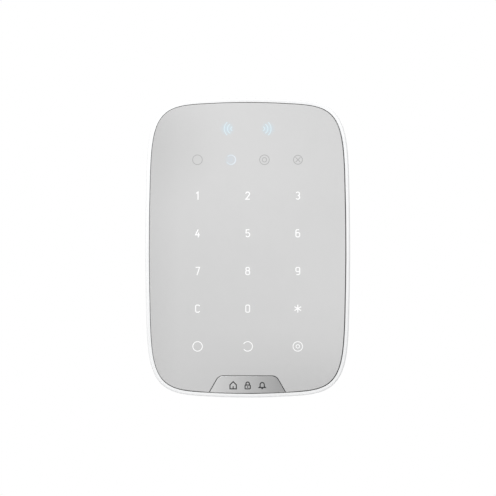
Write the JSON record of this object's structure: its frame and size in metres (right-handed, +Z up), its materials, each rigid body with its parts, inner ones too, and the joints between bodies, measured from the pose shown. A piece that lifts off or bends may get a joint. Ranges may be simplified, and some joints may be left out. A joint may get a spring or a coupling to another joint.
{
  "type": "alarm keypad panel",
  "caption": "Wall-mounted wireless alarm keypad with a flat touch panel, digit keys, a contactless reader mark and a slide-on wall bracket.",
  "frame": {"origin": "the middle of the wall bracket's back, in the plane of the wall", "axes": "+X to the right as the user faces the keypad, +Y into the wall, +Z up; the touch panel faces -Y"},
  "size_m": [0.113, 0.02, 0.165],
  "materials": {
    "white_plastic": "satin",
    "panel_grey": "satin",
    "badge_silver": "satin",
    "black_rubber": "matte",
    "film_polyester": "gloss",
    "chassis_plastic": "matte",
    "board_green": "satin",
    "component_black": "satin",
    "tinned_steel": "satin",
    "connector_ivory": "satin",
    "antenna_brass": "satin",
    "coil_copper": "satin",
    "cell_wrap": "satin",
    "label_white": "matte",
    "zinc_steel": "satin",
    "legend_white": "matte"
  },
  "bodies": {
    "bracket": {"wall_bracket": "white_plastic"},
    "lock_screw": {"lock_screw": "zinc_steel"},
    "keypad": {"badge_plate": "badge_silver", "battery_1": "cell_wrap", "battery_2": "cell_wrap", "battery_3": "cell_wrap", "battery_4": "cell_wrap", "battery_plate_1": "tinned_steel", "battery_plate_2": "tinned_steel", "battery_plate_3": "tinned_steel", "battery_plate_4": "tinned_steel", "battery_spring_1": "tinned_steel", "battery_spring_2": "tinned_steel", "battery_spring_3": "tinned_steel", "battery_spring_4": "tinned_steel", "board_screw_1": "zinc_steel", "board_screw_2": "zinc_steel", "board_screw_3": "zinc_steel", "board_screw_4": "zinc_steel", "buzzer": "component_black", "capacitor_1": "tinned_steel", "capacitor_2": "tinned_steel", "chassis": "chassis_plastic", "cover_screw_1": "zinc_steel", "cover_screw_2": "zinc_steel", "cover_screw_3": "zinc_steel", "cover_screw_4": "zinc_steel", "cover_screw_5": "zinc_steel", "cover_screw_6": "zinc_steel", "crystal": "tinned_steel", "flex_cable": "film_polyester", "flex_connector": "connector_ivory", "front_panel": "panel_grey", "main_board": "board_green", "main_shell": "white_plastic", "memory_chip": "component_black", "panel_gasket": "black_rubber", "power_switch": "component_black", "processor_chip": "component_black", "radio_antenna": "antenna_brass", "radio_shield": "tinned_steel", "rating_label": "label_white", "reader_chip": "component_black", "reader_coil": "coil_copper", "rear_cover": "white_plastic", "tamper_spring": "zinc_steel", "tamper_switch": "component_black", "touch_film": "film_polyester"},
    "tamper": {"tamper_plunger": "white_plastic", "tamper_switch_stem": "white_plastic"},
    "power": {"power_button": "white_plastic", "power_switch_stem": "white_plastic"}
  },
  "joints": [
    {"name": "keypad_release", "type": "slide", "parent": "bracket", "child": "keypad", "axis": [0, 0, 1], "range_m": [0, 0.007]},
    {"name": "lock_screw_out", "type": "slide", "parent": "bracket", "child": "lock_screw", "axis": [0, 0, -1], "range_m": [0, 0.009]},
    {"name": "tamper_press", "type": "slide", "parent": "keypad", "child": "tamper", "axis": [0, -1, 0], "range_m": [0, 0.0012], "stiffness_N_per_m": 300, "springref_m": -0.0008, "deforming": ["tamper_spring"]},
    {"name": "power_press", "type": "slide", "parent": "keypad", "child": "power", "axis": [0, -1, 0], "range_m": [0, 0.0008], "stiffness_N_per_m": 1200, "springref_m": -0.0005}
  ]
}
